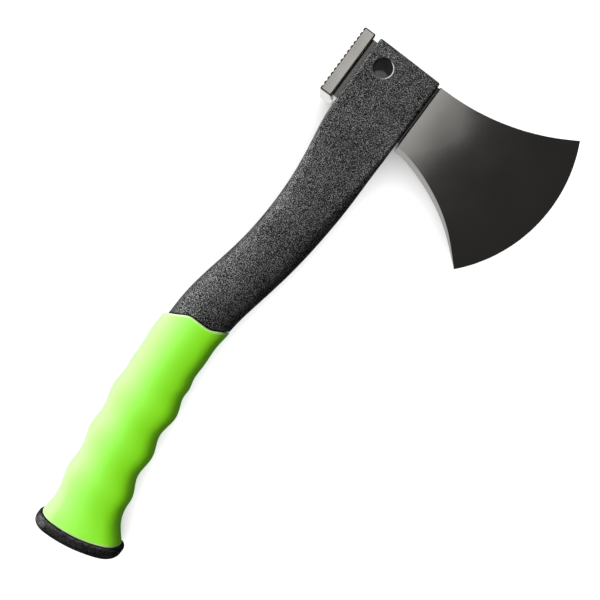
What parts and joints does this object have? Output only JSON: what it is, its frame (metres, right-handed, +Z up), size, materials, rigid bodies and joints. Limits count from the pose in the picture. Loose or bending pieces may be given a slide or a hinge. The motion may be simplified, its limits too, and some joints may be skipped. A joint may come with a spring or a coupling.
{
  "type": "hatchet",
  "caption": "Small camp hatchet: one-piece steel blade and toothed poll in a black moulded handle with a green rubber grip, and a fire starter that pulls out of the butt.",
  "frame": {"origin": "under the middle of the bounding box, with the hatchet lying flat on its side", "axes": "+X from the butt to the head end, +Y towards the poll and -Y towards the cutting edge, +Z up through the handle's thickness"},
  "size_m": [0.3174, 0.1296, 0.029],
  "materials": {
    "coated_steel": "satin",
    "black_nylon": "matte",
    "green_rubber": "satin",
    "cap_nylon": "satin",
    "knob_plastic": "satin",
    "ferro_metal": "matte",
    "black_rubber": "matte"
  },
  "bodies": {
    "hatchet": {"axe_head": "coated_steel", "handle_core": "black_nylon", "grip_sleeve": "green_rubber", "butt_cap": "cap_nylon"},
    "fire_starter": {"rod_knob": "knob_plastic", "ferro_rod": "ferro_metal", "knob_o_rings": "black_rubber"}
  },
  "joints": [
    {"name": "starter_slide", "type": "slide", "parent": "hatchet", "child": "fire_starter", "axis": [-0.9863, -0.165, 0], "range_m": [0, 0.08]}
  ]
}
